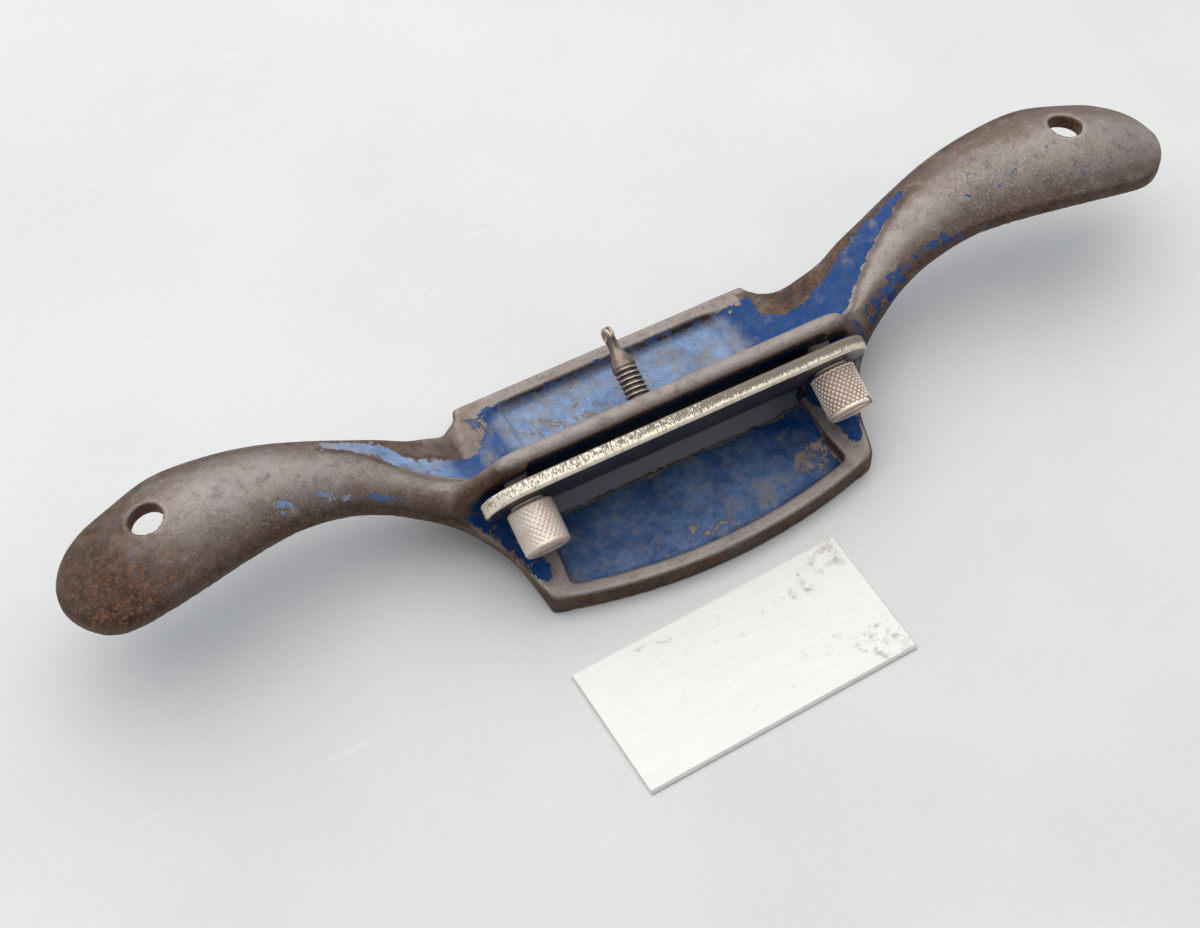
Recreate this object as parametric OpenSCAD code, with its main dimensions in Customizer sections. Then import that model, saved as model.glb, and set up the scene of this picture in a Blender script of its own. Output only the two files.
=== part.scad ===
// Cabinet scraper with two raised, hollow-backed handles, cast in one piece.
// X runs along the handles, -Y is the front (clamp side), Z is up and the sole lies on Z = 0.
// The origin is on the sole, on the centre line, behind the mouth.

/* [Sole] */
// Width of the sole across its front corners
sole_w = 83; // [78:0.5:90]
// Width of the sole at its back edge
sole_back_w = 78.6; // [74:0.2:84]
// Distance from the origin to the front corners
front_reach = 40; // [38:0.5:44]
// Distance from the origin to the back edge
back_reach = 17.5; // [16:0.5:21]
// How far the front edge bows out beyond its corners
front_bow = 6.5; // [4:0.1:10]
// Thickness of the floor of the two trays
floor_t = 3.2; // [2.4:0.1:4]
// Height of the raised rims
rim_h = 6; // [5:0.1:7.5]
// Width of the front and back rims
rim_w = 3.7; // [2.5:0.1:5]
// Half the width of the trays at their rims
tray_half = 35.8; // [32:0.1:37]
// Length of the sloping ends of the back tray
ramp_l = 4; // [1:0.1:6]
// Length of the mouth and of the blade seat
mouth_l = 73.2; // [72:0.2:75]
// Distance from the origin to the front edge of the mouth
mouth_front = 18.3; // [16.5:0.1:19.5]

/* [Bed] */
// Forward lean of the bed wall
lean = 21; // [15:0.5:25]
// Distance from the origin forward to the foot of the bed
bed_foot = 7.95; // [7:0.05:9]
// Height of the bed wall, measured up its face
bed_h = 36.4; // [34.5:0.1:40]
// Thickness of the bed wall behind the blade seat
bed_t = 4; // [3.4:0.1:5]
// Depth of the blade seat below its two shoulders
seat_depth = 0.8; // [0.4:0.1:1.2]
// Length of the straight top edge
bed_top_l = 78; // [74:0.5:82]
// Radius of the shoulders at the ends of the top edge
bed_shoulder_r = 7; // [5:0.5:9]
// Diameter of the boss for the bow screw on the back of the wall
boss_d = 13; // [11:0.5:14]
// Height of that boss
boss_h = 3; // [1:0.1:4.5]

/* [Handles] */
// Overall length over both handles
overall_l = 282.8; // [262:1:305]
// Height of the handles' crest above the sole
handle_h = 38.6; // [35:0.2:42]
// Greatest width of a handle
grip_w = 29.8; // [26:0.5:32]
// Height of the edge face along a handle
edge_h = 5; // [4:0.1:6]
// Metal thickness over the hollow back of a handle
grip_t = 4.6; // [3.6:0.1:6]
// Diameter of the hanging holes
hole_d = 7.8; // [5:0.1:8.5]
// Distance from the handle's end to the centre of its hanging hole
hole_inset = 23.5; // [19:0.5:28]
// Distance from the origin back to the centres of the hanging holes
hole_back = 2.2; // [0:0.1:4]
// Outward tilt of the hanging holes
hole_tilt = 8; // [0:0.5:12]

/* [Clamp] */
// Distance between the two clamp screws
screw_span = 78.5; // [77.5:0.1:80]
// Height of the clamp screws, measured up the bed
screw_up = 24.5; // [23:0.1:26]
// Height of the clamp bar
bar_h = 20; // [17:0.5:21]
// Thickness of the clamp bar
bar_t = 3.5; // [3:0.1:4.5]
// Gap between the blade seat and the slackened bar
bar_gap = 2.57; // [2.2:0.01:4]
// Diameter of the screw shanks
shank_d = 6; // [5:0.1:6.4]
// Diameter of the knurled heads
head_d = 11.2; // [9.5:0.1:13]
// Length of the knurled heads
head_l = 10.9; // [8.5:0.1:13]
// Diameter of the collar under each head
collar_d = 8; // [7.2:0.1:9]
// Thickness of the collar under each head
collar_t = 0.8; // [0.5:0.1:1.5]
// Width of the slot across each head
slot_w = 1.6; // [1:0.1:2.2]
// Depth of the slot across each head
slot_depth = 1.8; // [1:0.1:3]
// Chamfer around each head
head_chamfer = 0.8; // [0.3:0.1:1.2]

/* [Bow screw] */
// Height of the bow screw, measured up the bed
bow_up = 8; // [7.4:0.1:10]
// Diameter of its threaded shank
bow_d = 6; // [5:0.1:6.4]
// Length from the blade seat to the end of the thumb piece
bow_l = 27; // [24:0.5:32]
// Length of the neck and thumb piece together
bow_thumb_l = 11; // [9:0.5:13]
// Width of the thumb piece
bow_thumb_w = 7; // [6:0.5:10.5]
// Thickness of the thumb piece
bow_thumb_t = 2; // [1.6:0.1:3.2]

/* [Blade] */
// Width of the blade
blade_w = 70; // [66:0.5:71]
// Height of the blade
blade_h = 33.8; // [30:0.2:48]
// Thickness of the blade
blade_t = 1; // [0.8:0.1:1.4]
// Distance from the origin forward to the centre of the blade where it lies
blade_front = 71.3; // [71:0.1:90]
// Distance of that centre to the left of the centre line
blade_left = 9.9; // [0:0.1:20]
// Angle of the blade to the tool where it lies
blade_turn = 3.3; // [0:0.1:6]

/* [Hidden] */
$fn = 64;
bar_clear = 0.3;
thread_clear = 0.1;
face_clear = 0.1;
eps = 0.01;
big = 400;
seat_cut = 5;

iron = "dimgray";
nickel = "silver";
steel = "gainsboro";

side_x = sole_w / 2;
half_l = overall_l / 2;
reach = half_l - side_x;
front_r = (side_x * side_x + front_bow * front_bow) / (2 * front_bow);
front_c = front_r - front_reach - front_bow;
mouth_half = mouth_l / 2;
screw_x = screw_span / 2;

// The frame of the bed: x across, y up the blade seat, z out of it to the front.
module on_bed() {
    translate([0, -bed_foot, 0])
        rotate([90 + lean, 0, 0])
            children();
}

// Sections of a handle, from its root inside the sole to its tip. Each row holds the place along
// the reach, the middle in Y, the width as a share of grip_w, the height of the front and back
// underside edges and of the crest as shares of handle_h, the place of the crest across the width
// and the height of the edge face as a share of edge_h.
sections = [
    [-0.105, -6.0, 1.207, 0.015, 0.015, 0.067, 0.29, 0.40],
    [-0.055, -9.0, 1.440, 0.015, 0.015, 0.190, 0.50, 0.80],
    [-0.015, -12.1, 1.680, 0.015, 0.015, 0.320, 0.56, 1.05],
    [ 0.012, -11.6, 1.626, 0.075, 0.085, 0.390, 0.55, 0.75],
    [ 0.045, -8.5, 1.214, 0.161, 0.194, 0.440, 0.47, 0.64],
    [ 0.085, -6.0, 0.922, 0.218, 0.298, 0.487, 0.32, 0.64],
    [ 0.135, -3.6, 0.776, 0.290, 0.342, 0.518, 0.24, 0.72],
    [ 0.195, -1.0, 0.728, 0.363, 0.389, 0.570, 0.33, 0.80],
    [ 0.265, 1.1, 0.679, 0.446, 0.456, 0.658, 0.42, 0.88],
    [ 0.355, 3.1, 0.689, 0.523, 0.523, 0.751, 0.47, 0.96],
    [ 0.465, 4.1, 0.776, 0.593, 0.593, 0.855, 0.49, 1.00],
    [ 0.585, 3.0, 0.903, 0.663, 0.663, 0.943, 0.50, 1.00],
    [ 0.715, 0.9, 1.000, 0.707, 0.707, 1.000, 0.50, 1.00],
    [ 0.835, -1.3, 0.945, 0.679, 0.679, 0.959, 0.50, 1.00],
    [ 0.925, -2.2, 0.847, 0.642, 0.642, 0.891, 0.50, 1.00],
    [ 1.000, -2.0, 0.769, 0.611, 0.611, 0.842, 0.50, 1.00]
];
last = len(sections) - 1;
cap_start = 0.875;
cap_rings = 11;
body_rings = 32;
across = 14;
under = 6;

// Index of the pair of rows that a place along the handle lies between
function row_at(u, i = 0) =
    (i >= last - 1 || sections[i + 1][0] > u) ? i : row_at(u, i + 1);

// Slope of one column at a row, from its two neighbours
function slope(i, col) =
    let (a = max(i - 1, 0), b = min(i + 1, last))
    (sections[b][col] - sections[a][col]) / (sections[b][0] - sections[a][0]);

// One column of the sections at any place, as a cubic through the rows
function at(u, col) =
    let (i = row_at(u),
         a = sections[i],
         b = sections[i + 1],
         d = b[0] - a[0],
         t = (u - a[0]) / d)
    (2 * t * t * t - 3 * t * t + 1) * a[col]
    + (t * t * t - 2 * t * t + t) * d * slope(i, col)
    + (3 * t * t - 2 * t * t * t) * b[col]
    + (t * t * t - t * t) * d * slope(i + 1, col);

function mix(a, b, t) = a + (b - a) * t;
function clamp01(t) = min(1, max(0, t));
function smooth(t) = let (c = clamp01(t)) c * c * (3 - 2 * c);

// Outline of the handle in the plane across X at one place, front edge first. Past cap_start the
// section narrows as an ellipse, and its crown and hollow die out with the distance from the
// middle of the rounded end.
function ring(u) =
    let (c = clamp01((u - cap_start) / (1 - cap_start)),
         k = max(sqrt(1 - c * c), 0.05),
         half = at(u, 2) * grip_w / 2,
         mid = at(u, 1),
         front_u = at(u, 3) * handle_h,
         back_u = at(u, 4) * handle_h,
         crest = at(u, 5) * handle_h,
         crest_at = at(u, 6),
         edge = at(u, 7) * edge_h,
         valley = 1 - smooth((u - 0.10) / 0.16),
         scoop = 1 - smooth((u - 0.05) / 0.12),
         hollow = max(0, crest - grip_t - (front_u + back_u) / 2)
                  * smooth((u - 0.16) / 0.2))
    [for (i = [0 : across])
        let (t = i / across,
             front = t < crest_at,
             off = front ? 1 - t / crest_at : (t - crest_at) / (1 - crest_at),
             w = min(1, sqrt(off * off * k * k + c * c)),
             rise = mix(cos(90 * w), pow(1 - w, front ? 2.5 : 2), front ? scoop : valley),
             base = (front ? front_u : back_u) + edge)
            [mid + (2 * t - 1) * half * k, base + (crest - base) * rise],
     for (i = [0 : under])
        let (t = 1 - i / under,
             v = (2 * t - 1) * k,
             w = min(1, sqrt(v * v + c * c)))
            [mid + v * half * 0.98,
             mix(front_u, back_u, t) + hollow * pow(cos(90 * w), 0.8)]];

// Places of the rings: even along the grip, then crowding round the rounded end
places = concat(
    [for (i = [0 : body_rings - 1])
        mix(sections[0][0], cap_start, i / body_rings)],
    [for (i = [0 : cap_rings])
        cap_start + (1 - cap_start) * sin(90 * i / cap_rings)]);

// Point in the middle of one ring
function middle_of(u) =
    let (r = ring(u), n = len(r), sum = [for (p = r) 1] * r)
    [side_x + u * reach, sum[0] / n, sum[1] / n];

// One handle, lofted through its rings, on the +X side
module handle() {
    n = across + under + 2;
    rings = len(places);
    points = [for (u = places) for (p = ring(u)) [side_x + u * reach, p[0], p[1]]];
    sides = [for (j = [0 : rings - 2]) for (i = [0 : n - 1])
        let (a = j * n + i,
             b = j * n + (i + 1) % n,
             c = b + n,
             d = a + n)
        for (f = [[a, b, c], [a, c, d]]) f];
    // Each end is closed by a fan round a point in its middle
    root = [for (i = [0 : n - 1]) [(i + 1) % n, i, n * rings]];
    tip = [for (i = [0 : n - 1])
        [(rings - 1) * n + i, (rings - 1) * n + (i + 1) % n, n * rings + 1]];
    middles = [middle_of(places[0]), middle_of(places[rings - 1])];
    polyhedron(concat(points, middles), concat(sides, root, tip), convexity = 6);
}

// Plan of the sole, taken down its full height: straight sides and a bowed front edge
module sole_block(height, inset) {
    half_f = side_x - inset;
    half_b = sole_back_w / 2 - inset;
    y_f = -front_reach - front_bow - 1;
    spread = (side_x - sole_back_w / 2) / (front_reach + back_reach);
    half_ff = half_f + spread * (front_bow + 1);
    intersection() {
        linear_extrude(height)
            polygon([[-half_ff, y_f], [half_ff, y_f],
                     [half_b, back_reach - inset], [-half_b, back_reach - inset]]);
        translate([0, front_c, 0])
            cylinder(h = height, r = front_r - inset, $fn = 180);
    }
}

// The two recessed trays, whose rims stay standing
module trays() {
    translate([0, 0, floor_t])
        intersection() {
            sole_block(rim_h, rim_w);
            translate([-tray_half, -big, 0])
                cube([2 * tray_half, big - mouth_front + 1, rim_h]);
        }
    // The back tray's two ends slope up to the roots of the handles
    depth = rim_h - floor_t;
    low = tray_half - ramp_l;
    high = tray_half + ramp_l * 0.5;
    translate([0, back_reach - rim_w, floor_t])
        rotate([90, 0, 0])
            linear_extrude(bed_foot + back_reach - rim_w)
                polygon([[-low, 0], [low, 0], [tray_half, depth], [high, 1.5 * depth],
                         [-high, 1.5 * depth], [-tray_half, depth]]);
}

// Path of the middle of the wall's rounded edge, in the plane of the bed, right of the centre line
fall = 60;
edge_r = (bed_t + seat_depth) / 2;
top_x = bed_top_l / 2;
knee_r = bed_shoulder_r - edge_r;
knee_up = bed_h - bed_shoulder_r;
knee_end = [top_x + knee_r * sin(fall), knee_up + knee_r * cos(fall)];
fall_end_up = 21;
fall_l = (knee_end[1] - fall_end_up) / sin(fall);
fall_end = [knee_end[0] + fall_l * cos(fall), fall_end_up];

function arc(cx, cy, r, a0, a1, n) =
    [for (i = [0 : n]) let (a = mix(a0, a1, i / n)) [cx + r * cos(a), cy + r * sin(a)]];

// Front view of the wall inside that path, running down into the sole and the handles' roots
module wall_outline() {
    half = concat(arc(top_x, knee_up, knee_r, 90, 90 - fall, 8),
                  [fall_end, [fall_end[0] - 2, 15], [side_x + 4.5, 10],
                   [side_x + 0.5, 4], [side_x - 1, -3]]);
    polygon(concat(half, [for (i = [len(half) - 1 : -1 : 0]) [-half[i][0], half[i][1]]]));
}

// Half of the rounded edge: over the top, round the shoulder and down to the handle
module wall_edge() {
    translate([0, bed_h - edge_r, 0])
        rotate([0, 90, 0])
            cylinder(h = top_x, r = edge_r);
    translate([top_x, knee_up, 0])
        rotate([0, 0, 90 - fall])
            rotate_extrude(angle = fall)
                translate([knee_r, 0])
                    circle(r = edge_r);
    translate([knee_end[0], knee_end[1], 0])
        rotate([0, 0, -fall])
            rotate([0, 90, 0])
                cylinder(h = fall_l, r = edge_r);
    translate([fall_end[0], fall_end[1], 0])
        sphere(r = edge_r);
}

// The bed wall with its rounded edge and boss
module bed_wall() {
    intersection() {
        on_bed() {
            translate([0, 0, -bed_t])
                linear_extrude(bed_t + seat_depth)
                    wall_outline();
            translate([0, 0, seat_depth - edge_r]) {
                wall_edge();
                mirror([1, 0, 0])
                    wall_edge();
            }
            translate([0, bow_up, -bed_t - boss_h])
                cylinder(h = boss_h + 1, d = boss_d);
        }
        translate([-big / 2, -big / 2, eps])
            cube([big, big, big]);
    }
}

// The blade seat, a shallow recess down the face of the bed that runs out through the sole
module blade_seat() {
    on_bed()
        translate([-mouth_half, -5, 0])
            cube([mouth_l, bed_h + 10, seat_cut]);
}

// The mouth, through the sole from its front edge back into the blade seat
module mouth() {
    top = rim_h + 3;
    back = -bed_foot - seat_cut / 2;
    rotate([90, 0, 90])
        translate([0, 0, -mouth_half])
            linear_extrude(mouth_l)
                polygon([[-mouth_front, -1],
                         [back + tan(lean), -1],
                         [back - top * tan(lean), top],
                         [-mouth_front, top]]);
}

module hanging_holes() {
    for (s = [-1, 1])
        translate([s * (half_l - hole_inset), hole_back, handle_h - grip_t / 2])
            rotate([0, s * hole_tilt, 0])
                translate([0, 0, -20])
                    cylinder(h = 40, d = hole_d);
}

module tapped_holes() {
    on_bed() {
        for (x = [-screw_x, screw_x])
            translate([x, screw_up, -bed_t - 8])
                cylinder(h = bed_t + 12, d = shank_d + 2 * thread_clear);
        translate([0, bow_up, -bed_t - boss_h - 5])
            cylinder(h = bed_t + boss_h + 8, d = bow_d + 2 * thread_clear);
    }
}

module body_casting() {
    color(iron)
        difference() {
            union() {
                difference() {
                    sole_block(rim_h, 0);
                    trays();
                }
                bed_wall();
                handle();
                mirror([1, 0, 0])
                    handle();
            }
            blade_seat();
            mouth();
            hanging_holes();
            tapped_holes();
        }
}

module clamp_bar() {
    color(nickel)
        on_bed()
            translate([0, screw_up, bar_gap])
                difference() {
                    union() {
                        translate([-screw_x, -bar_h / 2, 0])
                            cube([screw_span, bar_h, bar_t]);
                        for (x = [-screw_x, screw_x])
                            translate([x, 0, 0])
                                cylinder(h = bar_t, d = bar_h);
                    }
                    for (x = [-screw_x, screw_x])
                        translate([x, 0, -1])
                            cylinder(h = bar_t + 2, d = shank_d + 2 * bar_clear);
                }
}

// A clamp screw turned from one bar: shank, collar and knurled head with a slot
module clamp_screw(x) {
    shank_l = bed_t + bar_gap + bar_t + face_clear;
    head_at = shank_l + collar_t;
    end = head_at + head_l;
    color(nickel)
        on_bed()
            translate([x, screw_up, -bed_t])
                difference() {
                    rotate_extrude()
                        polygon([[0, 0], [shank_d / 2 - 0.5, 0], [shank_d / 2, 0.5],
                                 [shank_d / 2, shank_l], [collar_d / 2, shank_l],
                                 [collar_d / 2, head_at],
                                 [head_d / 2 - head_chamfer, head_at],
                                 [head_d / 2, head_at + head_chamfer],
                                 [head_d / 2, end - head_chamfer],
                                 [head_d / 2 - head_chamfer, end], [0, end]]);
                    translate([-head_d, -slot_w / 2, end - slot_depth])
                        cube([2 * head_d, slot_w, slot_depth + 1]);
                }
}

// The bow screw: threaded shank, waisted neck and a flattened thumb piece that stands upright
module bow_screw() {
    thread_l = bow_l - bow_thumb_l;
    neck_l = bow_thumb_l * 0.5;
    neck_r = bow_thumb_t * 0.65;
    corner = bow_thumb_w * 0.3;
    corner_at = bow_thumb_w / 2 - corner;
    color(steel)
        on_bed()
            translate([0, bow_up, 0])
                rotate([180, 0, 0]) {
                    rotate_extrude()
                        polygon([[0, 0.2], [bow_d / 2 - 0.6, 0.2], [bow_d / 2, 0.8],
                                 [bow_d / 2, thread_l - 0.6], [bow_d / 2 - 0.6, thread_l],
                                 [neck_r, thread_l + neck_l], [0, thread_l + neck_l]]);
                    translate([-bow_thumb_t / 2, 0, 0])
                        rotate([90, 0, 90])
                            linear_extrude(bow_thumb_t)
                                polygon(concat(
                                    [[-neck_r, thread_l + neck_l * 0.5]],
                                    [[neck_r, thread_l + neck_l * 0.5]],
                                    arc(corner_at, bow_l - corner, corner, -15, 90, 10),
                                    arc(-corner_at, bow_l - corner, corner, 90, 195, 10)));
                }
}

module scraper_blade() {
    color(steel)
        translate([-blade_left, -blade_front, 0])
            rotate([0, 0, blade_turn])
                translate([-blade_w / 2, -blade_h / 2, 0])
                    cube([blade_w, blade_h, blade_t]);
}

body_casting();
clamp_bar();
clamp_screw(-screw_x);  // left_clamp_screw
clamp_screw(screw_x);  // right_clamp_screw
bow_screw();
scraper_blade();
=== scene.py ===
import math

import bpy
import numpy as np
from mathutils import Matrix, Vector


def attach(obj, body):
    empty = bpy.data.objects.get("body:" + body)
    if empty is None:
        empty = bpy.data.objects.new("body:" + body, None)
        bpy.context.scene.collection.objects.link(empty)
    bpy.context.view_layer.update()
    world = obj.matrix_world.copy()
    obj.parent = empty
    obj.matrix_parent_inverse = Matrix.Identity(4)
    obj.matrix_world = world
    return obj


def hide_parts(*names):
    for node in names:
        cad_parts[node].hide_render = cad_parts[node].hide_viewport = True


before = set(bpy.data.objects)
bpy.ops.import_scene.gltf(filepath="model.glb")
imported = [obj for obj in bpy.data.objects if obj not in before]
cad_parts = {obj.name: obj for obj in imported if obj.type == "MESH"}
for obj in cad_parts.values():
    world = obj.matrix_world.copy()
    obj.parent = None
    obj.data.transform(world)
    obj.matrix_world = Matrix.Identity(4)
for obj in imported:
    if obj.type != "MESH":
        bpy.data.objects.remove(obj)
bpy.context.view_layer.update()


# Body casting.
# Sole, leaning bed wall and two raised, hollow-backed handles, poured as one piece of grey iron.
# It was painted blue; the paint is left in the trays, valleys and flanks, and worn off what hands
# and wood rub on. The shape is one field in millimetres, above zero inside the metal, in which the
# parts run together with cast fillets and worn edges.
LEAN = math.radians(21.0)
BED_FOOT = 7.95
BED_UP = 36.4
BED_THICK = 4.0
SEAT_DEPTH = 0.8
BED_TOP_HALF = 39.0
BED_SHOULDER = 7.0
BED_FALL = math.radians(60.0)
BED_FALL_END = (51.9, 21.0)
BED_LOWER_SLOPE = (0.909, 0.413)
SEAT_HALF = 36.6
MOUTH_FRONT = 18.3
SOLE_HALF = 41.5
SOLE_BACK_HALF = 39.3
SOLE_FRONT = 40.0
SOLE_BACK = 17.5
FRONT_BOW = 6.5
FLOOR_THICK = 3.2
RIM_UP = 6.0
RIM_WIDE = 3.7
TRAY_HALF = 35.8
RAMP_FOOT = 31.8
RAMP_ANGLE = math.radians(35.0)
HALF_LONG = 141.4
HANDLE_UP = 38.6
GRIP_WIDE = 29.8
GRIP_THICK = 4.6
EDGE_UP = 5.0
CAP_START = 0.875
HANG_HOLE = (117.9, 2.5, 36.3)
HANG_RADIUS = 4.0
HANG_TILT = math.radians(8.0)
SCREW_X = 39.25
SCREW_UP = 24.5
SCREW_RADIUS = 3.0
BOW_UP = 8.0
BOSS_RADIUS = 6.5
BOSS_HIGH = 3.0
THREAD_CLEAR = 0.1
BAR_UP = 20.0
BAR_CLEAR = 0.6

# Radii of the cast fillets and of the edges that wear has rounded.
HANDLE_FILLET = 4.5
WALL_FILLET = 3.0
BOSS_FILLET = 1.6
RAMP_FILLET = 6.0
TRAY_FILLET = 1.8
TRAY_CORNER = 1.4
SOLE_WORN = 1.2
RIM_WORN = 0.9
CROWN_WORN = 1.8
CRISP_CROWN_WORN = 0.5
UNDER_WORN = 1.7
SEAT_WORN = 0.35
CUT_WORN = 0.5
HOLE_WORN = 0.4
HANG_WORN = 0.6
FOOT_WORN = 0.6

# Handle sections from the root inside the sole to the tip: place along the reach, middle in Y,
# width as a share of GRIP_WIDE, front edge, back edge and crest as shares of HANDLE_UP, place of
# the crest across the width, and the edge face as a share of EDGE_UP.
PLACE, MIDDLE, WIDTH, FRONT, BACK, CREST, CREST_AT, EDGE = range(8)
SECTIONS = np.array([
    [-0.105, -6.0, 1.207, 0.015, 0.015, 0.067, 0.29, 0.40],
    [-0.055, -9.0, 1.440, 0.015, 0.015, 0.190, 0.50, 0.80],
    [-0.015, -12.1, 1.680, 0.015, 0.015, 0.320, 0.56, 1.05],
    [0.012, -11.6, 1.626, 0.075, 0.085, 0.390, 0.55, 0.75],
    [0.045, -8.5, 1.214, 0.161, 0.194, 0.440, 0.47, 0.64],
    [0.085, -6.0, 0.922, 0.218, 0.298, 0.487, 0.32, 0.64],
    [0.135, -3.6, 0.776, 0.290, 0.342, 0.518, 0.24, 0.72],
    [0.195, -1.0, 0.728, 0.363, 0.389, 0.570, 0.33, 0.80],
    [0.265, 1.1, 0.679, 0.446, 0.456, 0.658, 0.42, 0.88],
    [0.355, 3.1, 0.689, 0.523, 0.523, 0.751, 0.47, 0.96],
    [0.465, 4.1, 0.776, 0.593, 0.593, 0.855, 0.49, 1.00],
    [0.585, 3.0, 0.903, 0.663, 0.663, 0.943, 0.50, 1.00],
    [0.715, 0.9, 1.000, 0.707, 0.707, 1.000, 0.50, 1.00],
    [0.835, -1.3, 0.945, 0.679, 0.679, 0.959, 0.50, 1.00],
    [0.925, -2.2, 0.847, 0.642, 0.642, 0.891, 0.50, 1.00],
    [1.000, -2.0, 0.769, 0.611, 0.611, 0.842, 0.50, 1.00],
])


def smooth_min(a, b, k):
    """The lesser of two fields, less h*h*k/4 where they lie within k of each other: a worn edge."""
    h = np.maximum(k - np.abs(a - b), 0.0) / k
    return np.minimum(a, b) - h * h * k / 4


def smooth_max(a, b, k):
    """The greater of two fields, with a fillet of about radius k where they meet."""
    return -smooth_min(-a, -b, k)


def ease(a, b, t):
    """0 below a, 1 above b, and 3tt - 2ttt between them."""
    t = np.clip((t - a) / (b - a), 0.0, 1.0)
    return t * t * (3 - 2 * t)


def along(u, column):
    """One column of the handle sections at any place, as a cubic through the rows."""
    place = SECTIONS[:, PLACE]
    value = SECTIONS[:, column]
    ahead = np.minimum(np.arange(len(place)) + 1, len(place) - 1)
    behind = np.maximum(np.arange(len(place)) - 1, 0)
    slope = (value[ahead] - value[behind]) / (place[ahead] - place[behind])
    i = np.clip(np.searchsorted(place, u, side="right") - 1, 0, len(place) - 2)
    d = place[i + 1] - place[i]
    t = np.clip((u - place[i]) / d, 0.0, 1.0)
    return ((2 * t**3 - 3 * t**2 + 1) * value[i] + (t**3 - 2 * t**2 + t) * d * slope[i]
            + (3 * t**2 - 2 * t**3) * value[i + 1] + (t**3 - t**2) * d * slope[i + 1])


def handle_sheets(x, y):
    """Height of the handle's top, height of its hollow underside, and distance inside its outline.
    The crown falls from the crest as a cosine of the distance off it, the underside rises as a
    cosine to the power 0.8, and both die out round the elliptical end."""
    u = (x - SOLE_HALF) / (HALF_LONG - SOLE_HALF)
    end = np.maximum((u - CAP_START) / (1 - CAP_START), 0.0)
    c = np.minimum(end, 1.0)
    k = np.sqrt(np.maximum(1 - c * c, 0.0025))
    half = along(u, WIDTH) * GRIP_WIDE / 2
    v = (y - along(u, MIDDLE)) / half
    across = np.clip(v / k, -1.0, 1.0)
    t = (across + 1) / 2
    front_under = along(u, FRONT) * HANDLE_UP
    back_under = along(u, BACK) * HANDLE_UP
    crest = along(u, CREST) * HANDLE_UP
    crest_at = along(u, CREST_AT)
    in_front = t < crest_at
    off = np.where(in_front, 1 - t / crest_at, (t - crest_at) / (1 - crest_at))
    w = np.minimum(1.0, np.sqrt(off * off * k * k + c * c))
    round_rise = np.cos(w * math.pi / 2)
    scoop = 1 - ease(0.05, 0.17, u)
    valley = 1 - ease(0.10, 0.26, u)
    front_rise = round_rise + ((1 - w) ** 2.5 - round_rise) * scoop
    back_rise = round_rise + ((1 - w) ** 2 - round_rise) * valley
    rise = np.where(in_front, front_rise, back_rise)
    base = np.where(in_front, front_under, back_under) + along(u, EDGE) * EDGE_UP
    top = base + (crest - base) * rise
    hollow = np.maximum(0.0, crest - GRIP_THICK - (front_under + back_under) / 2)
    hollow = hollow * ease(0.16, 0.36, u)
    w_under = np.minimum(1.0, np.sqrt((across * k) ** 2 + c * c))
    under = front_under + (back_under - front_under) * t
    under = under + hollow * np.cos(w_under * math.pi / 2) ** 0.8
    outline = half * (1 - np.sqrt(v * v + end * end))
    return top, under, outline


MEAN_UNDER_RUN = 1.2
ROUNDING_LOSS = 0.35


def handle_field(x, y, z, crisp):
    """The space between the two sheets and inside the outline. Top and outline are brought to a true
    distance by dividing by the length of their slope, the underside by a mean one. The upper edge
    is rounded, less so where crisp, and the outline stands out by what the rounding takes off it."""
    e = 0.2
    here = handle_sheets(x, y)
    in_x = handle_sheets(x + e, y)
    in_y = handle_sheets(x, y + e)
    top_run, side_run = (
        np.sqrt(least + ((in_x[i] - here[i]) / e) ** 2 + ((in_y[i] - here[i]) / e) ** 2)
        for i, least in ((0, 1.0), (2, 0.05)))
    spare = ROUNDING_LOSS * (1 - crisp) * ease(SOLE_HALF + 2, SOLE_HALF + 8, x)
    spare = spare * ease(HALF_LONG, HALF_LONG - 7, x)
    aside = np.minimum(here[2] / side_run + spare, HALF_LONG - 0.03 - x)
    worn = CROWN_WORN + (CRISP_CROWN_WORN - CROWN_WORN) * crisp
    crown = smooth_min((here[0] - z) / top_run, aside, worn)
    handle = smooth_min(crown, (z - here[1]) / MEAN_UNDER_RUN, UNDER_WORN)
    root = x - SOLE_HALF - SECTIONS[0, PLACE] * (HALF_LONG - SOLE_HALF)
    return np.minimum(handle, root)


def bed_place(y, z):
    """Distance up the blade seat and distance out of it to the front."""
    up = z * math.cos(LEAN) - (y + BED_FOOT) * math.sin(LEAN)
    out = -(y + BED_FOOT) * math.cos(LEAN) - z * math.sin(LEAN)
    return up, out


def inside_front(x, y):
    """Distance inside the sole's front edge, an arc through its two corners that bows forward."""
    radius = (SOLE_HALF**2 + FRONT_BOW**2) / (2 * FRONT_BOW)
    centre = radius - SOLE_FRONT - FRONT_BOW
    return radius - np.sqrt(x * x + (y - centre) ** 2)


def wall_ends(side, up):
    """Half the wall's thickness with the seat's, which rounds its edge, and the distances inside
    the wall's top edge and its falling end, both drawn in by that half."""
    edge = (BED_THICK + SEAT_DEPTH) / 2
    knee = BED_SHOULDER - edge
    knee_x = BED_TOP_HALF + knee * math.sin(BED_FALL)
    knee_up = BED_UP - BED_SHOULDER + knee * math.cos(BED_FALL)
    falling = (knee_x - side) * math.sin(BED_FALL) + (knee_up - up) * math.cos(BED_FALL)
    return edge, BED_UP - edge - up, falling


def from_hang_axis(side, y, z):
    """Distance from the axis of a hanging hole."""
    rx, ry, rz = side - HANG_HOLE[0], y - HANG_HOLE[1], z - HANG_HOLE[2]
    axial = rx * math.sin(HANG_TILT) + rz * math.cos(HANG_TILT)
    return np.sqrt(np.maximum(rx * rx + ry * ry + rz * rz - axial * axial, 0.0))


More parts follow.
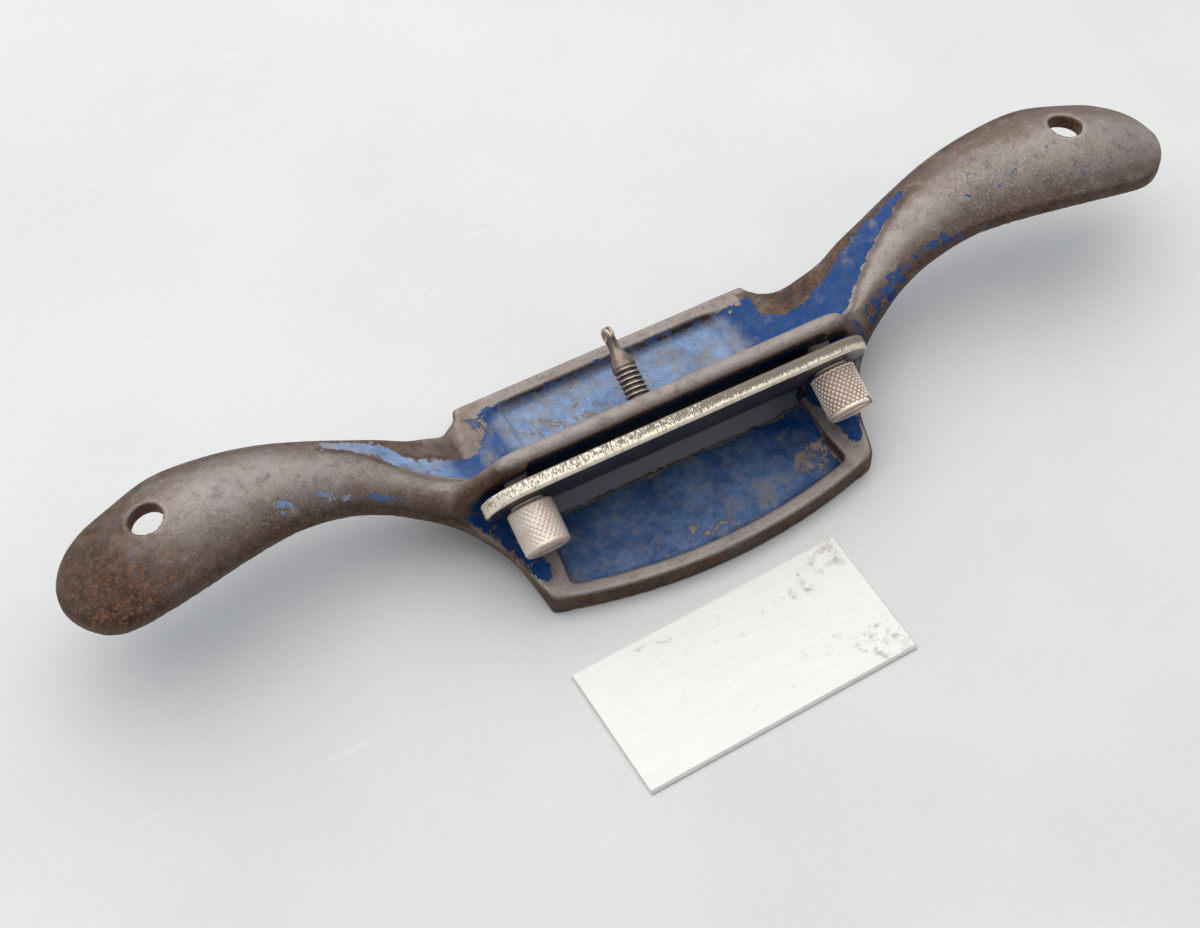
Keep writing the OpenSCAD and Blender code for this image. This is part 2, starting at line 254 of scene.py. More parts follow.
# Chips along the mouth's front edge: where they lie in X and how deep they are.
dice = np.random.default_rng(7)
CHIP_PLACES = np.cumsum(dice.uniform(0.35, 1.3, 110)) - 45.0
CHIP_DEPTHS = np.clip(dice.normal(0.05, 0.34, 110), -0.25, 0.95)


def casting_field(x, y, z):
    """Sole, less its trays, with the wall and the handles run together, less the machined seat,
    the mouth, the room for the clamp bar and the holes. The right tip is cast 1 mm to the front."""
    crisp = ease(76, 90, x) * ease(-1, -5, y)
    y = y + ease(120, 141, x)
    chips = np.interp(x, CHIP_PLACES, CHIP_DEPTHS)
    x = np.abs(x)
    up, out = bed_place(y, z)
    front = inside_front(x, y)
    taper = (SOLE_BACK_HALF - SOLE_HALF) / (SOLE_BACK + SOLE_FRONT)
    sole = smooth_min(front, SOLE_HALF + taper * (y + SOLE_FRONT) - x, SOLE_WORN)
    sole = smooth_min(sole, SOLE_BACK - y, SOLE_WORN)
    sole = smooth_min(sole, RIM_UP - z, 1.0)
    front_tray = smooth_min(front - RIM_WIDE, TRAY_HALF - x, TRAY_CORNER)
    front_tray = smooth_min(front_tray, z - FLOOR_THICK, TRAY_FILLET)
    front_tray = np.minimum(front_tray, 1 - MOUTH_FRONT - y)
    ramp = (RAMP_FOOT - x) * math.sin(RAMP_ANGLE) + (z - FLOOR_THICK) * math.cos(RAMP_ANGLE)
    back_tray = smooth_min(SOLE_BACK - RIM_WIDE - y, z - FLOOR_THICK, TRAY_FILLET)
    back_tray = smooth_min(back_tray, ramp, RAMP_FILLET)
    back_tray = np.minimum(back_tray, y + BED_FOOT)
    sole = smooth_min(sole, -front_tray, RIM_WORN)
    sole = smooth_min(sole, -back_tray, RIM_WORN)

    edge, below_top, falling = wall_ends(x, up)
    lower = ((BED_FALL_END[0] - x) * BED_LOWER_SLOPE[0]
             + (up - BED_FALL_END[1]) * BED_LOWER_SLOPE[1])
    plate = smooth_min(smooth_min(below_top, falling, 3.0), lower, 2.0)
    wall = edge - np.sqrt(np.maximum(-plate, 0.0) ** 2 + (out - SEAT_DEPTH + edge) ** 2)
    casting = smooth_max(sole, wall, WALL_FILLET)
    casting = smooth_max(casting, handle_field(x, y, z, crisp), HANDLE_FILLET)
    from_bow = np.sqrt(x * x + (up - BOW_UP) ** 2)
    boss = smooth_min(BOSS_RADIUS - from_bow, out + BED_THICK + BOSS_HIGH, 1.0)
    casting = smooth_max(casting, np.minimum(boss, -out), BOSS_FILLET)

    seat = np.minimum(np.minimum(out, 0.45 * (SEAT_HALF + 1.2 - x)), 5.0 - out)
    casting = smooth_min(casting, -seat, SEAT_WORN)
    mouth = np.minimum(np.minimum(y + MOUTH_FRONT + chips, out - 2.0), SEAT_HALF - x)
    casting = smooth_min(casting, -mouth, CUT_WORN)
    past_end = np.maximum(x - SCREW_X, 0.0)
    room = BAR_UP / 2 + BAR_CLEAR - np.sqrt(past_end**2 + (up - SCREW_UP) ** 2)
    room = np.minimum(np.minimum(room, out - SEAT_DEPTH - 0.05), 9.0 - out)
    casting = smooth_min(casting, -room, CUT_WORN)

    # Each hole is cut from well behind the wall to well in front of it.
    hole = SCREW_RADIUS + THREAD_CLEAR
    clamp_hole = hole - np.sqrt((x - SCREW_X) ** 2 + (up - SCREW_UP) ** 2)
    casting = smooth_min(casting, -np.minimum(clamp_hole, 8.0 - np.abs(out + 4.0)), HOLE_WORN)
    bow_hole = np.minimum(hole - from_bow, 7.5 - np.abs(out + 4.5))
    casting = smooth_min(casting, -bow_hole, HOLE_WORN)
    casting = smooth_min(casting, from_hang_axis(x, y, z) - HANG_RADIUS, HANG_WORN)
    return smooth_min(casting, z, FOOT_WORN)


EVENING_ROUNDS = 2
NEWTON_STEPS = 2


def surface_net(field, low, high, step):
    """Points and faces on the zero of a field: one point in each cell of a grid that the surface
    crosses, at the mean of its crossed edges, and one face across each crossed edge. Each point is
    then moved to the mean of its faces' middles, and by -f g/|g|^2, with g the gradient, back on to
    the surface."""
    axes = [np.arange(a, b + step, step) for a, b in zip(low, high)]
    grid = np.broadcast_to(
        field(axes[0][:, None, None], axes[1][None, :, None], axes[2][None, None, :]),
        [len(a) for a in axes])
    inside = grid > 0
    corners = np.array([(i, j, k) for i in (0, 1) for j in (0, 1) for k in (0, 1)])
    count = sum(inside[tuple(slice(o, n - 1 + o) for o, n in zip(corner, grid.shape))].astype(int)
                for corner in corners)
    active = (count > 0) & (count < 8)
    cell = np.argwhere(active)
    number = np.full(active.shape, -1)
    number[active] = np.arange(len(cell))
    values = np.stack([grid[tuple((cell + corner).T)] for corner in corners], axis=1)
    total = np.zeros((len(cell), 3))
    crossed = np.zeros(len(cell))
    for a in range(8):
        for b in range(a + 1, 8):
            if np.abs(corners[a] - corners[b]).sum() == 1:
                cross = (values[:, a] > 0) != (values[:, b] > 0)
                gap = np.where(cross, values[:, a] - values[:, b], 1.0)
                place = (values[:, a] / gap)[:, None]
                total += cross[:, None] * (corners[a] + place * (corners[b] - corners[a]))
                crossed += cross
    points = np.array(low) + step * (cell + total / crossed[:, None])
    faces = []
    for axis in range(3):
        b, c = (axis + 1) % 3, (axis + 2) % 3
        lower = np.take(inside, range(inside.shape[axis] - 1), axis=axis)
        upper = np.take(inside, range(1, inside.shape[axis]), axis=axis)
        edge = np.argwhere(lower != upper)
        edge = edge[(edge[:, b] > 0) & (edge[:, c] > 0)]
        edge = edge[(edge[:, b] < grid.shape[b] - 1) & (edge[:, c] < grid.shape[c] - 1)]
        ring = []
        for db, dc in ((-1, -1), (0, -1), (0, 0), (-1, 0)):
            at = edge.copy()
            at[:, b] += db
            at[:, c] += dc
            ring.append(number[tuple(at.T)])
        ring = np.stack(ring, axis=1)
        outward = lower[tuple(edge.T)]
        faces.append(np.where(outward[:, None], ring, ring[:, ::-1]))
    faces = np.concatenate(faces)
    for _ in range(EVENING_ROUNDS):
        middle = points[faces].mean(1)
        near = np.zeros_like(points)
        for corner in faces.T:
            for axis in range(3):
                near[:, axis] += np.bincount(corner, middle[:, axis], len(points))
        points = near / np.bincount(faces.ravel(), minlength=len(points))[:, None]
        for _ in range(NEWTON_STEPS):
            value, slope = value_and_slope(field, points)
            move = -value[:, None] * slope / np.maximum((slope**2).sum(1), 0.05)[:, None]
            length = np.linalg.norm(move, axis=1)[:, None]
            points = points + move * np.minimum(1.0, 0.5 * step / np.maximum(length, 1e-9))
    return points, faces


def value_and_slope(field, points):
    """The field and its gradient at each point, by central differences."""
    e = 0.04
    value = field(*points.T)
    slope = np.stack([field(*(points + e * step).T) - field(*(points - e * step).T)
                      for step in np.eye(3)], axis=1)
    return value, slope / (2 * e)


def make_piece(name, points_mm, faces, masks=None):
    """A smooth-shaded mesh object at the origin from points in millimetres, with named masks kept
    as one number a point."""
    mesh = bpy.data.meshes.new(name)
    mesh.from_pydata((points_mm / 1000).tolist(), [], faces.tolist())
    for mask, values in (masks or {}).items():
        layer = mesh.attributes.new(mask, "FLOAT", "POINT")
        layer.data.foreach_set("value", values.astype(np.float32))
    mesh.shade_smooth()
    piece = bpy.data.objects.new(name, mesh)
    bpy.context.scene.collection.objects.link(piece)
    return piece


def rub_highlight_and_dirt_shade(field, points, reach):
    """How far a point stands out, where hands rub and the materials paint highlights, and how far it
    lies in a corner, where the materials paint dirt and shade: the field a little below and a little
    above the surface, against a flat one."""
    slope = value_and_slope(field, points)[1]
    out = -slope / np.maximum(np.linalg.norm(slope, axis=1), 1e-6)[:, None]
    rub_and_highlight = 1 - field(*(points - out * reach).T) / reach
    dirt_and_shade = 1 + field(*(points + out * reach).T) / reach
    return np.clip(rub_and_highlight, 0, 1), np.clip(dirt_and_shade, 0, 1), out


def patch(points, centre, size):
    """1 in the middle of an ellipsoid and 0 at its skin."""
    off = (points - np.array(centre)) / np.array(size)
    return np.clip(1 - (off**2).sum(1), 0, 1)


def strip(u, v, rows):
    """How far, in millimetres, a place on a handle lies inside a strip given by rows of place along
    the reach, its front edge and its back edge as shares of the half width."""
    table = np.array(rows)
    front = np.interp(u, table[:, 0], table[:, 1])
    back = np.interp(u, table[:, 0], table[:, 2])
    half = along(u, WIDTH) * GRIP_WIDE / 2
    ends = np.minimum(u - table[0, 0], table[-1, 0] - u) * (HALF_LONG - SOLE_HALF)
    return np.minimum(np.minimum(v - front, back - v) * half, ends)


LEFT_VALLEY = [
    (-0.060, -0.60, 0.85), (-0.013, -0.30, 0.62), (0.070, -0.10, 0.44), (0.155, -0.05, 0.42),
    (0.185, 0.02, 0.66), (0.215, 0.20, 0.82), (0.280, 0.50, 0.84), (0.330, 0.60, 0.78)]
RIGHT_VALLEY = [
    (-0.060, -0.60, 0.85), (0.046, -0.40, 0.54), (0.093, -0.40, 0.56), (0.126, -0.34, 0.58),
    (0.165, -0.12, 0.64), (0.216, 0.06, 0.72), (0.260, 0.22, 0.76), (0.330, 0.48, 0.76),
    (0.375, 0.58, 0.70)]
RIGHT_FRONT_EDGE = [(0.08, -1.1, -0.62), (0.45, -1.1, -0.80), (0.66, -1.1, -0.90)]
LEFT_CHIPS = [(0.20, -1.0, -0.68), (0.33, -1.0, -0.75), (0.40, -0.80, -0.45), (0.56, -0.95, -0.5)]

# Places in millimetres where flecks of paint are left, and where paint is worn through: how much,
# middle and half sizes.
FLECKS = [(1.00, (97, -3, 34), (24, 11, 9)), (1.00, (112, -9, 34), (22, 6, 6)),
          (0.95, (-86, -5, 30), (16, 5, 7))]
WORN_THROUGH = [
    (0.42, (-16, 2, 3), (17, 9, 7)), (0.62, (-39, 8, 8), (9, 9, 8)), (0.80, (31, -33, 3), (10, 6, 5)),
    (0.35, (-2, -38, 3), (16, 5, 5)), (0.35, (33, 15, 6), (7, 5, 5)), (0.40, (46, -18, 8), (7, 10, 9))]


class Skin:
    """Where the casting's points lie. u is the place along a handle's reach, and v the place across
    it, from -1 at the front edge to 1 at the back edge. in_wall and in_valley are distances inside
    the wall's outline and the painted valley. What follows them is 0 to 1, or false or true."""

    def __init__(self, points, out_dir):
        x, y, z = points.T
        side = np.abs(x)
        up, out = bed_place(y, z)
        u = (side - SOLE_HALF) / (HALF_LONG - SOLE_HALF)
        v = (y - along(u, MIDDLE)) / (along(u, WIDTH) * GRIP_WIDE / 2)
        facing_up = out_dir[:, 2]
        self.points, self.x, self.y, self.z, self.side = points, x, y, z, side
        self.up, self.out, self.u, self.v, self.facing_up = up, out, u, v, facing_up
        self.in_wall = np.minimum(*wall_ends(side, up)[1:])
        self.in_valley = np.where(x < 0, strip(u, v, LEFT_VALLEY), strip(u, v, RIGHT_VALLEY))
        near_wall = (out > -BED_THICK - 0.4) & (out < SEAT_DEPTH + 1)
        self.roll = np.where(near_wall, ease(2.0, 0.0, self.in_wall), 0)
        self.tip = ease(0.60, 0.92, u) * np.where(x < 0, 1.0, 0.15)
        self.sole = (z < 0.25) & (facing_up < -0.8)
        self.aside = ease(0.75, 0.25, facing_up) * np.where(self.sole, 0.25, 1.0)
        self.behind_valley = (ease(0.40, 0.75, v) * ease(0.42, 0.25, u)
                              * (u > -0.05) * (y < SOLE_BACK - 2))
        self.mouth_edge = self.by_mouth(1.0, 0.2, 4)

    def by_mouth(self, far, near, high):
        """1 within near of the mouth's front edge, and 0 beyond far or above high."""
        close = ease(far, near, np.abs(self.y + MOUTH_FRONT))
        return close * (self.side < 38) * (self.z > 0.3) * (self.z < high)


def tray_paint(s):
    """Paint on the floors and inner sides of the two trays."""
    from_rim = inside_front(s.x, s.y) - RIM_WIDE
    front = np.minimum(from_rim + 0.4, TRAY_HALF + 0.6 - s.side)
    front = np.minimum(front, -MOUTH_FRONT + 1.2 - s.y) + 3 * (RIM_UP - 0.9 - s.z)
    front = np.minimum(front, from_rim + 1.2)
    front = np.where((s.z > 0.5) & (s.side < SOLE_HALF - 1), ease(-0.8, 1.6, front), 0)
    back = np.minimum(SOLE_BACK - RIM_WIDE + 0.4 - s.y, 39.0 - s.side)
    back = np.where((s.out < -BED_THICK + 1.5) & (s.z > 1), ease(-1.6, 1.8, back), 0)
    return np.maximum(front, back)


def handle_paint(s):
    """Paint in the valleys behind the crests, on the flanks beside the sole, and in the hollow
    backs."""
    top = ease(0.0, 0.3, s.facing_up)
    valley = ease(-2.8, 2.8, s.in_valley) * top
    flank = np.minimum(11.0 - (s.side - SOLE_HALF), (s.out - 0.5) * 1.2)
    flank = np.minimum(flank, s.side - SOLE_HALF + 3)
    flank = ease(-2.5, 2.0, flank) * top * (s.v > -0.93)
    hollow = 0.9 * ease(-0.2, -0.4, s.facing_up) * ease(0.1, 0.2, s.u) * ease(1.0, 0.8, np.abs(s.v))
    return np.maximum.reduce([valley, 0.95 * flank, hollow])


def edge_paint(s):
    """Chips of paint along the right handle's front edge, and low on the left handle's front."""
    right = ease(-1.5, 1.0, strip(s.u, s.v, RIGHT_FRONT_EDGE))
    left = ease(-2.0, 2.0, strip(s.u, s.v, LEFT_CHIPS))
    return right * np.where(s.x > 0, 0.62 - 0.35 * s.u, 0.0), left * np.where(s.x < 0, 0.44, 0.0)


def flecks(s):
    """The last flecks of paint on the crowns."""
    return np.maximum.reduce([much * patch(s.points, at, size) ** 0.5 for much, at, size in FLECKS])


def worn_through(s):
    """Where paint has worn or rusted off."""
    return np.maximum.reduce([0.5 * s.by_mouth(2.2, 0.4, 4.5)] + [
        much * patch(s.points, at, size) for much, at, size in WORN_THROUGH])


def paint_mask(s):
    """All the paint, with that on the wall ending below its rolled edge."""
    on_wall = (s.out > -BED_THICK - 0.8) & (s.out < SEAT_DEPTH + 1) & (s.z > 3.5) & (s.side < 50)
    wall = np.where(on_wall, ease(-0.4, 2.0, s.in_wall), 0)
    paint = np.maximum.reduce([tray_paint(s), wall, handle_paint(s), *edge_paint(s)])
    paint = paint * (1 - 0.9 * s.roll * (s.u < 0.05))
    return np.clip(paint - worn_through(s), 0, 1)


def haze_mask(s):
    """Paint gone pale: the trays' floors, the left valley and the chips and flecks."""
    floor = ease(6.5, 4.0, s.z) * (s.side < 37) * (s.z > 1)
    front = 0.50 * patch(s.points, (-8, -33, 3), (44, 19, 9)) ** 0.4
    haze = floor * np.where(s.y > -10, 0.95, front)
    in_left = (s.x < 0) & (s.v > -0.2)
    haze = np.maximum(haze, np.where(in_left, 0.2 + 0.65 * ease(0.03, 0.12, s.u), 0))
    right, left = edge_paint(s)
    haze = np.maximum(haze, 0.45 * (flecks(s) > 0) + 0.3 * (left > 0) + 0.2 * (right > 0))
    haze = haze * ease(-BED_THICK + 0.4, -BED_THICK - 1.4, s.out) + haze * (s.out > 3)
    return np.clip(haze, 0, 1)


def rust_mask(s):
    """Rust specks: most on the left tip, the hole walls, the mouth's edge and where paint wore off,
    fewer on the sides, behind the valleys and at the left handle's foot."""
    return np.clip(np.maximum.reduce([
        0.55 * s.tip * (0.3 + 0.7 * ease(0.3, -0.6, s.v)) + 0.20 * s.tip,
        0.62 * s.aside,
        s.behind_valley * np.where(s.x > 0, 0.50, 0.34),
        0.75 * worn_through(s),
        0.5 * patch(s.points, (-47, -14, 13), (14, 9, 14)),
        ease(HANG_RADIUS + 0.5, HANG_RADIUS + 0.1, from_hang_axis(s.side, s.y, s.z)),
        0.85 * s.mouth_edge]), 0, 1)


def sheen_and_polish_mask(s):
    """Where the iron is painted lighter grey: a band along each crown, the rims and the rolled edge of
    the wall, on faces turned up only, as painted sheen and partly hand polish; and the sole, rubbed by
    wood."""
    near = ease(0.5, 0.25, s.u)
    off_band = np.abs(s.v + np.where(s.x < 0, 0.08 + 0.16 * near, 0.24 - 0.04 * near))
    crown = ease(1.0, 0.1, off_band / (0.95 - 0.25 * near)) * (1 - 0.8 * s.tip)
    right_shine = 0.64 + 0.30 * near + 0.34 * ease(0.55, 0.85, s.u)
    crown = crown * np.where(s.x < 0, 1.0 - 0.34 * near, right_shine)
    rims = np.where(s.y < 0, 0.80, 0.62)
    sheen_and_polish = np.where(s.u > 0.02, crown, rims) * ease(0.3, 0.9, s.facing_up)
    rolled = 0.75 * s.roll * ease(0.2, 0.9, s.facing_up) * (s.u < 0.05)
    return np.where(s.sole, 0.75, np.maximum(sheen_and_polish, rolled))


def brown_and_shade_mask(s):
    """Dark brown iron: sides, partly rust and partly painted shade, the left tip and the land behind
    each valley, which hands don't reach, the handles' edges as painted shade where the crowns roll
    away, and the line at a valley's foot."""
    back_edge = 0.85 * ease(0.52, 0.92, s.v)
    front_edge = np.where(s.x > 0, 0.35 * ease(0.62, 0.80, -s.v), 0.6 * ease(0.72, 0.95, -s.v))
    foot = ease(-3.5, -1.0, s.in_valley) * ease(0.5, -0.8, s.in_valley)
    foot = foot * (s.v < 0.6) * ease(0.0, 0.06, s.u)
    return np.clip(np.maximum.reduce([
        s.aside, s.tip * ~s.sole, s.behind_valley * np.where(s.x > 0, 1.25, 0.45),
        0.8 * s.mouth_edge, np.maximum(back_edge, front_edge) * (s.u > 0.1),
        0.75 * foot * ease(0.0, 0.3, s.facing_up)]), 0, 1)


def ground_mask(s):
    """The lower part of the seat, machined for the blade."""
    ground = ease(-0.5, -0.1, s.out) * ease(0.6, 0.3, s.out) * (s.side < SEAT_HALF + 0.3)
    return ground * ease(14.5, 13.5, s.up)


cell = 0.65
casting_points, casting_faces = surface_net(
    casting_field, (-142.3, -47.4, -0.9), (142.3, 18.6, 39.8), cell)
casting_rub_and_highlight, casting_dirt_and_shade, casting_out = rub_highlight_and_dirt_shade(casting_field, casting_points, 1.3)
skin = Skin(casting_points, casting_out)
body_casting = make_piece("body_casting_worn", casting_points, casting_faces, {
    "rub_and_highlight": casting_rub_and_highlight, "dirt_and_shade": casting_dirt_and_shade, "paint": paint_mask(skin), "fleck": flecks(skin),
    "haze": haze_mask(skin), "rust": rust_mask(skin), "sheen_and_polish": sheen_and_polish_mask(skin),
    "brown_and_shade": brown_and_shade_mask(skin), "ground": ground_mask(skin)})


def srgb(r, g, b):
    """A colour as seen, from 0 to 255, brought to linear light."""
    c = np.array([r, g, b]) / 255
    lit = np.where(c <= 0.04045, c / 12.92, ((c + 0.055) / 1.055) ** 2.4)
    return (*lit.tolist(), 1.0)


class Sock:
    """A socket in a material. Arithmetic on it adds Math nodes."""

    def __init__(self, finish, socket):
        self.finish = finish
        self.socket = socket

    def math(self, operation, *values):
        sockets = dict(enumerate((self, *values)))
        return self.finish.node("ShaderNodeMath", {"operation": operation}, sockets)

    def __add__(self, other):
        return self.math("ADD", other)

    def __sub__(self, other):
        return self.math("SUBTRACT", other)

    def __rsub__(self, other):
        return self.math("MULTIPLY", -1.0).math("ADD", other)

    def __mul__(self, other):
        return self.math("MULTIPLY", other)

    __radd__ = __add__
    __rmul__ = __mul__

    def most(self, other):
        return self.math("MAXIMUM", other)

    def step(self, low, high):
        """0 below low, 1 above high, eased between them. low may be the higher."""
        sockets = {"Value": self, "From Min": low, "From Max": high, "To Min": 0.0, "To Max": 1.0}
        settings = {"interpolation_type": "SMOOTHSTEP"}
        return self.finish.node("ShaderNodeMapRange", settings, sockets)

    def tint(self, low, high):
        """A colour: low where this is 0 and high where it is 1."""
        return self.finish.node("ShaderNodeMix", {"data_type": "RGBA"},
                                {0: self, 6: low, 7: high}, out=2)


class Finish:
    """A material with a Principled shader, built up by node() and closed by set()."""

    def __init__(self, name):
        self.material = bpy.data.materials.new(name)
        self.material.use_nodes = True
        self.tree = self.material.node_tree
        self.shader = self.tree.nodes["Principled BSDF"]
        place = self.node("ShaderNodeTexCoord", {}, {}, out="Object")
        self.mm = self.node("ShaderNodeVectorMath", {"operation": "SCALE"},
                            {0: place, "Scale": 1000.0})

    def node(self, kind, settings, sockets, out=0):
        """A node of that type: its settings first, then the values or links of its sockets."""
        made = self.tree.nodes.new(kind)
        for key, value in settings.items():
            setattr(made, key, value)
        for key, value in sockets.items():
            if isinstance(value, Sock):
                self.tree.links.new(value.socket, made.inputs[key])
            else:
                made.inputs[key].default_value = value
        return Sock(self, made.outputs[out])

    def noise(self, size, detail=4.0, rough=0.6, stretch=(1, 1, 1), shift=0.0):
        """Cloudy noise about 0.5 with lumps of that size in millimetres, drawn out by stretch."""
        place = self.mm
        if stretch != (1, 1, 1) or shift:
            place = self.node("ShaderNodeMapping", {}, {
                "Vector": self.mm, "Scale": tuple(1 / s for s in stretch),
                "Location": (shift, shift, shift)})
        return self.node("ShaderNodeTexNoise", {}, {
            "Vector": place, "Scale": 1 / size, "Detail": detail, "Roughness": rough})

    def mask(self, name):
        return self.node("ShaderNodeAttribute", {"attribute_name": name}, {}, out="Fac")

    def bump(self, height_mm, strength=1.0):
        """A normal from a height in millimetres."""
        return self.node("ShaderNodeBump", {}, {
            "Height": height_mm, "Distance": 0.001, "Strength": strength})

    def set(self, **sockets):
        """Links or sets the shader's own sockets, with underscores for spaces."""
        for key, value in sockets.items():
            socket = self.shader.inputs[key.replace("_", " ")]
            if isinstance(value, Sock):
                self.tree.links.new(value.socket, socket)
            else:
                socket.default_value = value
        return self.material


def painted_iron():
    """Brown-grey rubbed iron, lighter on the crowns and rims with painted sheen and hand polish,
    darker on sides and crown edges with painted shade, and specked with rust, under chipped blue paint
    whose broken edges are brown."""
    f = Finish("worn_blue_paint_on_iron")
    cloud = f.noise(14.0, 3.0, 0.6)
    flake = f.noise(2.6, 7.0, 0.68)
    grain = f.noise(0.5, 3.0, 0.6)
    speck = f.noise(0.9, 3.0, 0.65, shift=31.0)
    blotch = f.noise(5.0, 5.0, 0.7, shift=77.0)
    mottle = f.noise(3.4, 6.0, 0.75, shift=51.0)
    smudge = f.noise(7.0, 5.0, 0.65, shift=63.0)
    left = f.mask("paint")
    haze = f.mask("haze")
    rub_and_highlight = f.mask("rub_and_highlight")
    dirt_and_shade = f.mask("dirt_and_shade")
    brown_and_shade = f.mask("brown_and_shade")
    ground = f.mask("ground")
    level = left + (flake - 0.5) * 2.2 + (cloud - 0.5) * 1.0 - rub_and_highlight * 0.7
    paint = level.step(0.485, 0.515) * left.step(0.02, 0.12)
    paint = paint.most((f.mask("fleck") * 0.20 + f.noise(2.2, 5.0, 0.7, shift=5.0)).step(0.79, 0.81))
    broken = level.step(0.36, 0.47) * left.step(0.25, 0.6) * speck.step(0.38, 0.52)

    # Bare iron: brown to grey with painted sheen and polish, then flecks, wear and painted highlight
    # on edges, brown sides and crown edges partly as painted shade, dirt and painted shade in corners,
    # and rust.
    # Painted sheen with hand polish: up-turned crowns and rims go from brown to light grey.
    sheen_and_polish_tone = (f.mask("sheen_and_polish") + (blotch - 0.5) * 0.5 + (cloud - 0.5) * 0.6).step(-0.1, 1.15)
    iron = sheen_and_polish_tone.tint(srgb(98, 80, 70), srgb(147, 138, 133))
    iron = (cloud.step(0.48, 0.70) * 0.40).tint(iron, srgb(116, 114, 120))
    iron = (mottle.step(0.50, 0.63) * 0.38).tint(iron, srgb(82, 64, 54))
    iron = (mottle.step(0.46, 0.34) * 0.30).tint(iron, srgb(164, 154, 148))
    coarse = f.mask("fleck") * 0.30 + 0.30
    iron = (grain.step(0.56, 0.74) * coarse).tint(iron, srgb(190, 180, 168))
    iron = (grain.step(0.46, 0.26) * coarse).tint(iron, srgb(62, 50, 42))
    # Edges lighter: partly wear, partly painted highlight.
    iron = (rub_and_highlight.step(0.15, 0.5) * 0.30).tint(iron, srgb(174, 162, 152))
    # Brown sides and crown edges: partly rust and dirt, partly painted shade.
    brown_and_shade_level = (brown_and_shade * 0.8 + (blotch - 0.5) * 1.2 * brown_and_shade).step(0.0, 1.0)
    iron = (brown_and_shade_level * 0.9).tint(iron, mottle.step(0.40, 0.62).tint(srgb(80, 59, 48), srgb(50, 35, 28)))
    # Darker in corners: partly dirt, partly painted shade.
    iron = (dirt_and_shade.step(0.12, 0.55) * 0.65).tint(iron, srgb(50, 38, 30))
    iron = ground.tint(iron, srgb(56, 51, 49))
    spots = (speck + f.mask("rust") * 0.20 + (blotch - 0.5) * 0.35).step(0.63, 0.76)
    orange = (grain + (speck - 0.5)).step(0.35, 0.65).tint(srgb(92, 60, 46), srgb(136, 88, 62))
    iron = (spots * 0.56).tint(iron, orange)
    iron = (broken * 0.6).tint(iron, srgb(112, 84, 62))

    # Paint: deep to pale blue as it has faded, then painted shade deepening it in corners, scuffs, a
    # grey film, dust and rust spots.
    patchy = haze * (smudge.step(0.66, 0.34) * 0.35 + 0.7)
    fade = cloud.step(0.30, 0.70) * 0.14 + flake.step(0.36, 0.66) * 0.12 + patchy * 0.85 - 0.14
    fade = fade.step(0.0, 1.0)
    blue = fade.tint(srgb(0, 55, 110), srgb(128, 154, 192))
    # Painted shade: the blue deeper and darker in corners.
    blue = (dirt_and_shade.step(0.05, 0.45) * 0.8).tint(blue, srgb(10, 38, 84))
    scuff = (blotch + (cloud - 0.5) * 0.6 + haze * 0.14 - 0.08).step(0.48, 0.74) * 0.62
    blue = scuff.tint(blue, srgb(132, 122, 112))
    film = haze * 0.5 + 0.1
    blue = (smudge.step(0.48, 0.68) * film * 0.60).tint(blue, srgb(92, 96, 102))
    blue = (mottle.step(0.46, 0.62) * film * 0.80).tint(blue, srgb(134, 125, 112))
    blue = (grain.step(0.64, 0.72) * 0.30).tint(blue, srgb(150, 160, 172))
    spots_on_paint = (speck + haze * 0.03).step(0.64, 0.70)
    blue = (spots_on_paint * 0.6).tint(blue, srgb(118, 84, 58))
    blue = (grain.step(0.46, 0.30) * 0.35).tint(blue, srgb(16, 34, 62))
    height = grain * 0.11 + speck * 0.06 + flake * 0.05 + paint * 0.08 - spots * 0.05
    bare = 1 - paint
    return f.set(
        Base_Color=paint.tint(iron, blue),
        Metallic=bare * (1 - spots) * (1 - broken) * (1 - ground) * 0.4,
        Roughness=bare * 0.02 + 0.42 + spots * 0.2 + scuff * 0.2 + grain * 0.05,
        Specular_IOR_Level=0.16, Normal=f.bump(height, 0.9))


body_casting.data.materials.append(painted_iron())
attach(body_casting, "casting")
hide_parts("body_casting")


# Clamp bar.
# A flat steel bar with round ends, nickel plated, that the two knurled screws press on the blade.
# Its upper edge is worn bright and painted near white as its highlight, with small dark marks that
# crowd towards its back and right end.
BAR_THICK = 3.5
BAR_GAP = 2.57
BAR_HOLE = 3.3
BAR_WORN = 0.9


def from_bed(points):
    """Points given as across, up the bed and out of it, brought to the row's frame."""
    x, up, out = points.T
    y = -BED_FOOT - up * math.sin(LEAN) - out * math.cos(LEAN)
    z = up * math.cos(LEAN) - out * math.sin(LEAN)
    return np.stack([x, y, z], axis=1)


def bar_field(x, up, out):
    """A stadium as thick as the bar, with a worn edge all round, less its two holes."""
    past_end = np.maximum(np.abs(x) - SCREW_X, 0.0)
    flat = BAR_UP / 2 - np.sqrt(past_end**2 + (up - SCREW_UP) ** 2)
    thick = BAR_THICK / 2 - np.abs(out - BAR_GAP - BAR_THICK / 2)
    bar = smooth_min(flat, thick, BAR_WORN)
    hole = np.sqrt((np.abs(x) - SCREW_X) ** 2 + (up - SCREW_UP) ** 2) - BAR_HOLE
    return smooth_min(bar, hole, HOLE_WORN)


bar_cell = 0.34
bar_points, bar_faces = surface_net(
    bar_field, (-49.9, 13.9, 2.0), (49.9, 35.1, 6.7), bar_cell)
bar_rub_and_highlight = rub_highlight_and_dirt_shade(bar_field, bar_points, 0.7)[0]
past_end = np.maximum(np.abs(bar_points[:, 0]) - SCREW_X, 0.0)
bar_edge = np.hypot(past_end, bar_points[:, 1] - SCREW_UP)
